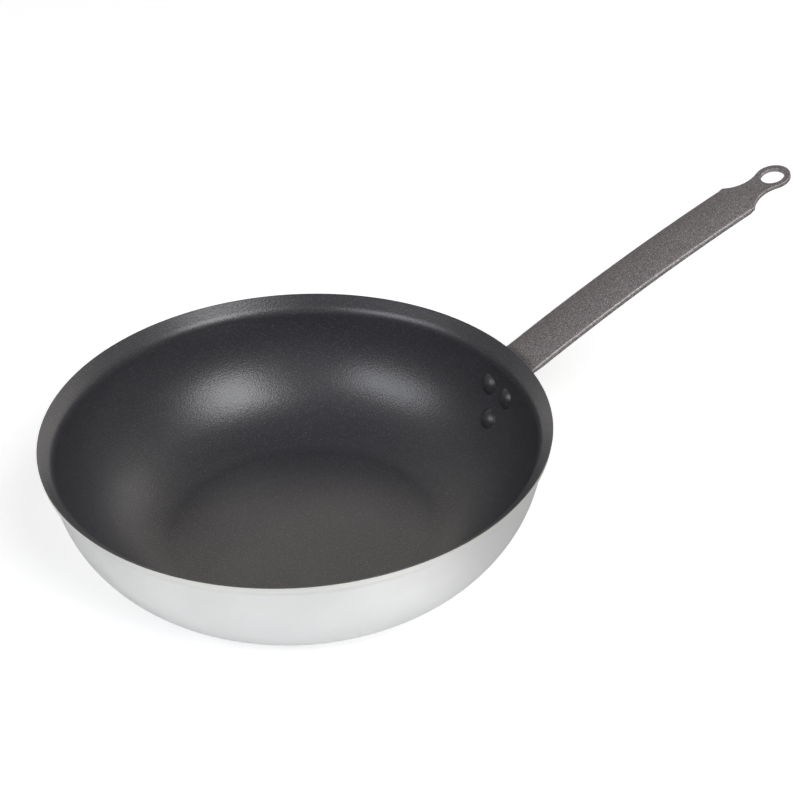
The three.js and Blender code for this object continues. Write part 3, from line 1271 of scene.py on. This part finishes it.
@dataclass
class Rivet:
    """Solid rivet: coated domed head in the pan, shank, and bare upset tail on the foot.

    Args:
        handle: the handle that it holds.
        spot: which rivet it is.
        head_radius: radius of the head on the coat.
        head_rise: its height.
        head_fillet: easing of its foot.
        head_sink: how far the eased foot lies under the coat's surface.
        head_reach: how far the foot runs on under the coat.
        head_bed: depth and bevel of the head's underside below the coat's surface.
        coat: height of the coat's surface over the sheet.
        tail_radius: radius of the tail.
        tail_rise: its height.
        tail_gap: gap between tail and foot.
        tail_bevel: bevel of the tail's bearing edge, inward and up.
        shank_radius: radius of the shank.
        skirt: foot of the tail below its cap.
        skirt_share: share of the skirt that stands upright under the corner.
        corner_angle: angle of the cap left for the corner, in degrees.
        turn_scale: length along the surface coordinate for one radian.
        segments: steps round the axis.
    """

    handle: HandleForm
    spot: RivetPlace
    head_radius: float = 6.4
    head_rise: float = 3.0
    head_fillet: float = 0.08
    head_sink: float = 0.06
    head_reach: float = 1.0
    head_bed: float = 0.3
    coat: float = 0.6
    tail_radius: float = 5.0
    tail_rise: float = 1.6
    tail_gap: float = 0.3
    tail_bevel: tuple[float, float] = (0.25, 0.4)
    shank_radius: float = 3.0
    skirt: float = 0.35
    skirt_share: float = 0.6
    corner_angle: float = 4.0
    turn_scale: float = 3.0
    segments: int = 72

    def matrix(self) -> np.ndarray:
        """Local axes and origin on the pan's outer skin, with local +Z into the pan.

        Returns:
            A 4 by 4 matrix in millimetres.
        """
        _, row, side = self.spot.value
        f, pan = self.handle, self.handle.pan
        heading = f.bend_heading - (f.bend_start - row) / f.foot_radius
        x0, z0 = pan.wall_centre
        turn = side / (x0 + f.foot_radius * math.sin(heading))
        reach = x0 + pan.wall_radius * math.sin(heading)
        inward = np.array([
            -math.sin(heading) * math.cos(turn), -math.sin(heading) * math.sin(turn), math.cos(heading),
        ])
        across = np.array([-math.sin(turn), math.cos(turn), 0.0])
        matrix = np.eye(4)
        matrix[:3, 0] = np.cross(across, inward)
        matrix[:3, 1] = across
        matrix[:3, 2] = inward
        height = z0 - pan.wall_radius * math.cos(heading)
        matrix[:3, 3] = (reach * math.cos(turn), reach * math.sin(turn), height)
        return matrix

    def head(self, seat: float) -> np.ndarray:
        """Domed head whose foot runs out into the wall under the coat.

        Over the hollow of the wall, r^2 / 2w, stands a spherical cap c(r), eased by f ln(1 + exp(c / f)).

        Args:
            seat: local height of the coat's surface at the middle of the head.

        Returns:
            Points of radius and height from the foot to the crest.
        """
        sphere = (self.head_radius**2 + self.head_rise**2) / (2.0 * self.head_rise)
        r = np.linspace(self.head_radius + self.head_reach, 0.0, 40)
        cap = np.sqrt(sphere**2 - r**2) - sphere + self.head_rise
        eased = self.head_fillet * np.log1p(np.exp(cap / self.head_fillet))
        hollow = r**2 / (self.handle.pan.wall_radius + self.handle.pan.rim_radius)
        return np.column_stack((r, seat - self.head_sink + hollow + eased))

    def tail(self, seat: float) -> np.ndarray:
        """Upset tail: a spherical cap on a short skirt, downward.

        Args:
            seat: local height of the foot's back.

        Returns:
            Points of radius and height from the crest to the seat.
        """
        cap = self.tail_rise - self.skirt
        sphere = (self.tail_radius**2 + cap**2) / (2.0 * cap)
        opening = math.degrees(math.asin(self.tail_radius / sphere))
        crest = arc((0.0, self.tail_rise - sphere), sphere, 90.0, 90.0 + self.corner_angle - opening, 20)
        crest[0, 0] = 0.0
        upright = np.linspace(self.skirt * self.skirt_share, 0.0, 3)
        skirt = np.column_stack((np.full(3, self.tail_radius), upright))
        profile = np.concatenate((crest, skirt))
        return np.column_stack((profile[:, 0], seat - profile[:, 1]))

    def build(self, finishes: Finishes) -> bpy.types.Object:
        """Turns the rivet about its axis, (r cos u, r sin u, z), and sets it in the wall.

        Args:
            finishes: the pan's finishes.

        Returns:
            The rivet.
        """
        pan = self.handle.pan
        inside = pan.sheet + self.coat
        tail_seat = -self.handle.foot_gap - self.handle.thickness - self.tail_gap
        tail = self.tail(tail_seat)
        head = self.head(inside)
        inset, lift = self.tail_bevel
        bearing, bed = tail_seat + lift, inside - self.head_bed
        shank = np.array([
            tail[-1], [self.tail_radius - inset, bearing], [self.shank_radius, bearing],
            [self.shank_radius, bed], [head[0, 0] - self.head_bed, bed], head[0],
        ])
        patches = [
            lathe(part, self.segments, finish, self.turn_scale)
            for part, finish in ((tail, 1), (shank, 1), (head, 0))
        ]
        matrix = self.matrix()
        for patch in patches:
            patch.points = patch.points @ matrix[:3, :3].T + matrix[:3, 3]
        skins = [finishes.rivet_coat, finishes.rivet_metal]
        return build_piece(f"{self.spot.value[0]}_dressed", patches, skins)


# Studio


@dataclass(frozen=True)
class PhotoCamera:
    """Camera of the photograph, in pixels of a square image and millimetres.

    Args:
        image: width of the image in pixels.
        sensor: width of the sensor.
        focal: focal length in pixels.
        elevation: angle above the horizon, in degrees.
        roll: turn of the image, in degrees.
        azimuth: angle of the handle behind the image's right, in degrees.
        distance: distance to the rim's centre along the view.
        centre: pixel of the rim's centre.
        height: height of the rim's centre.
    """

    image: float = 800.0
    sensor: float = 36.0
    focal: float = 1600.0
    elevation: float = 33.55
    roll: float = -1.38
    azimuth: float = 28.65
    distance: float = 875.1
    centre: tuple[float, float] = (295.85, 419.4)
    height: float = 77.0

    def axes(self) -> tuple[np.ndarray, np.ndarray, np.ndarray]:
        """Level axes of the view: right, up and forward."""
        c, s = math.cos(math.radians(self.azimuth)), math.sin(math.radians(self.azimuth))
        ce, se = math.cos(math.radians(self.elevation)), math.sin(math.radians(self.elevation))
        return np.array([c, -s, 0.0]), np.array([s * se, c * se, ce]), np.array([s * ce, c * ce, -se])

    def towards(self, azimuth: float, elevation: float) -> np.ndarray:
        """Direction seen from the pan.

        Args:
            azimuth: degrees to the right of straight behind the pan.
            elevation: degrees above the horizon.

        Returns:
            A unit vector.
        """
        right, _, forward = self.axes()
        level = forward * np.array([1.0, 1.0, 0.0])
        level /= np.linalg.norm(level)
        a, e = math.radians(azimuth), math.radians(elevation)
        return math.cos(e) * (math.sin(a) * right + math.cos(a) * level) + np.array([0.0, 0.0, math.sin(e)])

    def build(self) -> bpy.types.Object:
        """Makes the camera and gives it to the scene.

        Returns:
            The camera object.
        """
        right, up, forward = self.axes()
        shift = (np.array(self.centre) - self.image / 2.0) / self.focal * self.distance
        aside = shift[1] * up - shift[0] * right
        place = np.array([0.0, 0.0, self.height]) + aside - self.distance * forward
        c, s = math.cos(math.radians(self.roll)), math.sin(math.radians(self.roll))
        matrix = np.eye(4)
        matrix[:3, 0] = right * c + up * s
        matrix[:3, 1] = up * c - right * s
        matrix[:3, 2] = -forward
        matrix[:3, 3] = place * MM
        data = bpy.data.cameras.new("photo_camera")
        data.sensor_width = self.sensor
        data.lens = self.sensor * self.focal / self.image
        data.clip_start = 0.01
        camera = bpy.data.objects.new("photo_camera", data)
        camera.matrix_world = Matrix(matrix.tolist())
        bpy.context.scene.collection.objects.link(camera)
        bpy.context.scene.camera = camera
        return camera


@dataclass(frozen=True)
class Softbox:
    """Soft lamp that faces the pan.

    Args:
        name: name of the lamp.
        azimuth: degrees to the right of straight behind the pan.
        elevation: degrees above the horizon.
        distance: metres from the pan.
        size: width and height in metres.
        power: watts.
        colour: its colour.
        aim: height that it faces, in metres.
    """

    name: str
    azimuth: float
    elevation: float
    distance: float
    size: tuple[float, float]
    power: float
    colour: Colour = (1.0, 1.0, 1.0)
    aim: float = 0.05

    def build(self, camera: PhotoCamera) -> bpy.types.Object:
        """Makes the lamp.

        Args:
            camera: the camera whose view the azimuth starts from.

        Returns:
            The lamp object.
        """
        data = bpy.data.lights.new(self.name, "AREA")
        data.shape = "RECTANGLE"
        data.size, data.size_y = self.size
        data.energy = self.power
        data.color = self.colour
        lamp = bpy.data.objects.new(self.name, data)
        way = Vector(camera.towards(self.azimuth, self.elevation))
        lamp.location = way * self.distance + Vector((0.0, 0.0, self.aim))
        lamp.rotation_euler = way.to_track_quat("Z", "Y").to_euler()
        bpy.context.scene.collection.objects.link(lamp)
        return lamp


@dataclass
class Studio:
    """Pale floor, white surround and soft lamps.

    Args:
        camera: the camera that right and behind are told from.
        lamps: the soft lamps.
        floor_size: width of the floor in metres.
        floor_gap: gap between the floor and the pan's base in millimetres.
        camera_glow: the floor's own light to the camera.
        white: the floor's colour.
        painted_grey: painted reflection, a grey that only the pan's mirror sees on the floor to its right,
            as if a grey card stood there.
        grey_side: where that painted grey starts and is full, as cosines from the image's right.
        painted_glow: places from the pan's left (0) to its right (1), and the floor's own light that only
            the pan's mirror sees, a painted reflection that brightens a band on the outer wall.
        glow_reach: distances from the pan's axis in metres at which that painted glow starts and is full.
        behind: middle of the backdrop, in degrees to the right of straight behind the pan.
        backdrop: cosines from that middle at which the backdrop starts and is full.
        back: heights, as sines, and colours of the room behind the pan.
        front: heights and colours of the room in front of it.
        room_light: strength of the room's light, against 1 where the pan mirrors the room.
    """

    camera: PhotoCamera
    lamps: tuple[Softbox, ...] = (
        Softbox("right_softbox", 137.0, 42.0, 3.9, (1.8, 2.55), 87.0, (0.98, 0.99, 1.0)),
        Softbox("left_softbox", -129.0, 33.0, 3.9, (2.7, 1.5), 48.0, (0.94, 0.96, 1.0)),
        Softbox("back_softbox", 42.0, 30.0, 4.2, (1.8, 1.5), 5.4, (1.0, 0.99, 0.97)),
    )
    floor_size: float = 4.4
    floor_gap: float = 0.05
    camera_glow: float = 0.5
    white: Colour = (0.9, 0.9, 0.9)
    painted_grey: Colour = (0.7, 0.7, 0.7)
    grey_side: tuple[float, float] = (0.74, 0.96)
    painted_glow: tuple[tuple[float, float], ...] = (
        (0.04, 0.04), (0.13, 0.13), (0.25, 0.175), (0.5, 0.16), (0.62, 0.18), (0.75, 0.26),
        (0.83, 0.19), (0.89, 0.05), (0.94, 0.0),
    )
    glow_reach: tuple[float, float] = (0.115, 0.165)
    behind: float = 10.0
    backdrop: tuple[float, float] = (0.2, 0.8)
    back: tuple[tuple[float, Colour], ...] = (
        (0.0, (1.85, 1.8, 1.75)), (0.15, (1.28, 1.24, 1.18)), (0.35, (0.9, 0.87, 0.8)),
        (0.62, (1.25, 1.18, 1.05)), (0.84, (0.15, 0.15, 0.15)),
    )
    front: tuple[tuple[float, Colour], ...] = (
        (0.0, (0.32, 0.32, 0.32)), (0.5, (0.22, 0.22, 0.22)), (0.68, (0.36, 0.36, 0.36)),
        (0.82, (0.3, 0.3, 0.3)), (0.93, (0.09, 0.09, 0.09)),
    )
    room_light: float = 0.53

    def build(self) -> None:
        """Makes the floor, the surround, the lamps and the camera."""
        self.make_floor()
        self.make_surround()
        for lamp in self.lamps:
            lamp.build(self.camera)
        self.camera.build()
        bpy.context.scene.view_settings.view_transform = "Standard"

    def make_floor(self) -> None:
        """Level floor (x, y, 0) that is white to the camera, keeps the pan's shadow, and in the pan's
        mirror shows a painted grey and a painted glow.
        """
        edge = np.linspace(-0.5, 0.5, 9) * self.floor_size / MM
        x, y = np.meshgrid(edge, edge)
        grid = np.stack((x, y, 0.0 * x - self.floor_gap), axis=-1)
        material, nodes = new_material("white_floor")
        path = nodes.add("LightPath").outputs
        # painted reflection: grey and glow that only glossy rays see on the floor
        painted_grey, painted_glow = self.mirrored_floor(nodes, path["Is Glossy Ray"])
        shader = nodes.add("BsdfPrincipled", {
            "Base Color": nodes.mix(painted_grey, self.white, self.painted_grey),
            "Roughness": 0.9,
            "Specular IOR Level": 0.0,
            "Emission Color": (1.0, 1.0, 1.0, 1.0),
            "Emission Strength": nodes.calc("MULTIPLY_ADD", path["Is Camera Ray"], self.camera_glow, painted_glow),
        })
        nodes.add("OutputMaterial", {"Surface": shader.outputs["BSDF"]})
        floor = build_piece("floor", [Patch(grid, grid[..., :2])], [material])

    def mirrored_floor(
        self, nodes: Nodes, mirrored: bpy.types.NodeSocket
    ) -> tuple[bpy.types.NodeSocket, bpy.types.NodeSocket]:
        """Painted reflection: the floor as only the pan mirrors it, with a painted glow in front and a
        painted grey on the right.

        Args:
            nodes: the floor's nodes.
            mirrored: 1 for light that the pan mirrors.

        Returns:
            The share of painted grey and the strength of the painted glow, both seen only in the pan's
            mirror.
        """
        spot = nodes.add("NewGeometry").outputs["Position"]
        far = nodes.add("VectorMath", {0: spot}, operation="LENGTH").outputs["Value"]
        way = nodes.add("VectorMath", {0: spot}, operation="NORMALIZE").outputs["Vector"]
        right = tuple(self.camera.axes()[0])
        across = nodes.add("VectorMath", {0: way, 1: right}, operation="DOT_PRODUCT").outputs["Value"]
        stops = [(place, (level, level, level)) for place, level in self.painted_glow]
        painted_glow = nodes.ramp(nodes.step(across, -1.0, 1.0), stops)
        grown = nodes.calc("MULTIPLY", nodes.step(far, *self.glow_reach), mirrored)
        painted_grey = nodes.calc("MULTIPLY", nodes.step(across, *self.grey_side), mirrored)
        return painted_grey, nodes.calc("MULTIPLY", painted_glow, grown)

    def make_surround(self) -> None:
        """Room with a bright backdrop behind the pan, darker overhead and in front, white to the camera."""
        world = bpy.data.worlds.new("studio")
        world.use_nodes = True
        bpy.context.scene.world = world
        nodes = Nodes(world.node_tree)
        way = nodes.add("TexCoord").outputs["Generated"]
        height = nodes.add("SeparateXYZ", {"Vector": way}).outputs["Z"]
        behind = tuple(self.camera.towards(self.behind, 0.0))
        facing = nodes.add("VectorMath", {0: way, 1: behind}, operation="DOT_PRODUCT").outputs["Value"]
        room = nodes.add("Mix", {"Factor": nodes.step(facing, *self.backdrop)}, data_type="RGBA")
        nodes.tree.links.new(nodes.ramp(height, self.front), room.inputs["A"])
        nodes.tree.links.new(nodes.ramp(height, self.back), room.inputs["B"])
        colour = next(o for o in room.outputs if o.type == "RGBA")
        path = nodes.add("LightPath").outputs
        strength = nodes.spread(path["Is Glossy Ray"], self.room_light, 1.0)
        soft = nodes.add("Background", {"Color": colour, "Strength": strength})
        white = nodes.add("Background", {"Color": (1.0, 1.0, 1.0, 1.0), "Strength": 1.0})
        both = nodes.add("MixShader", {0: path["Is Camera Ray"], 1: soft.outputs[0], 2: white.outputs[0]})
        nodes.add("OutputWorld", {"Surface": both.outputs[0]})


def dress(piece: bpy.types.Object, node: str) -> None:
    """Puts a piece in the frame.

    Args:
        piece: the new piece.
        node: CAD node that it stands for.
    """
    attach(piece, "root")
    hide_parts(node)
    log.info("%s stands for %s with %d faces", piece.name, node, len(piece.data.polygons))


def main() -> None:
    """Builds the pan, its finishes and the studio."""
    logging.basicConfig(level=logging.INFO, format="%(name)s: %(message)s")
    _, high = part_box("pan_body")
    form = PanForm(rim_radius=round(high[0] / MM, 3), height=round(high[2] / MM, 3))
    finishes = Finishes.build(Effects.build())
    handle = HandleForm(form)
    dress(PressedShell(form).build(finishes), "pan_body")
    dress(NonstickLining(form).build(finishes), "nonstick_lining")
    dress(StripHandle(handle).build(finishes), "handle")
    for spot in RivetPlace:
        dress(Rivet(handle, spot).build(finishes), spot.value[0])
    Studio(PhotoCamera()).build()


if __name__ == "__main__":
    main()
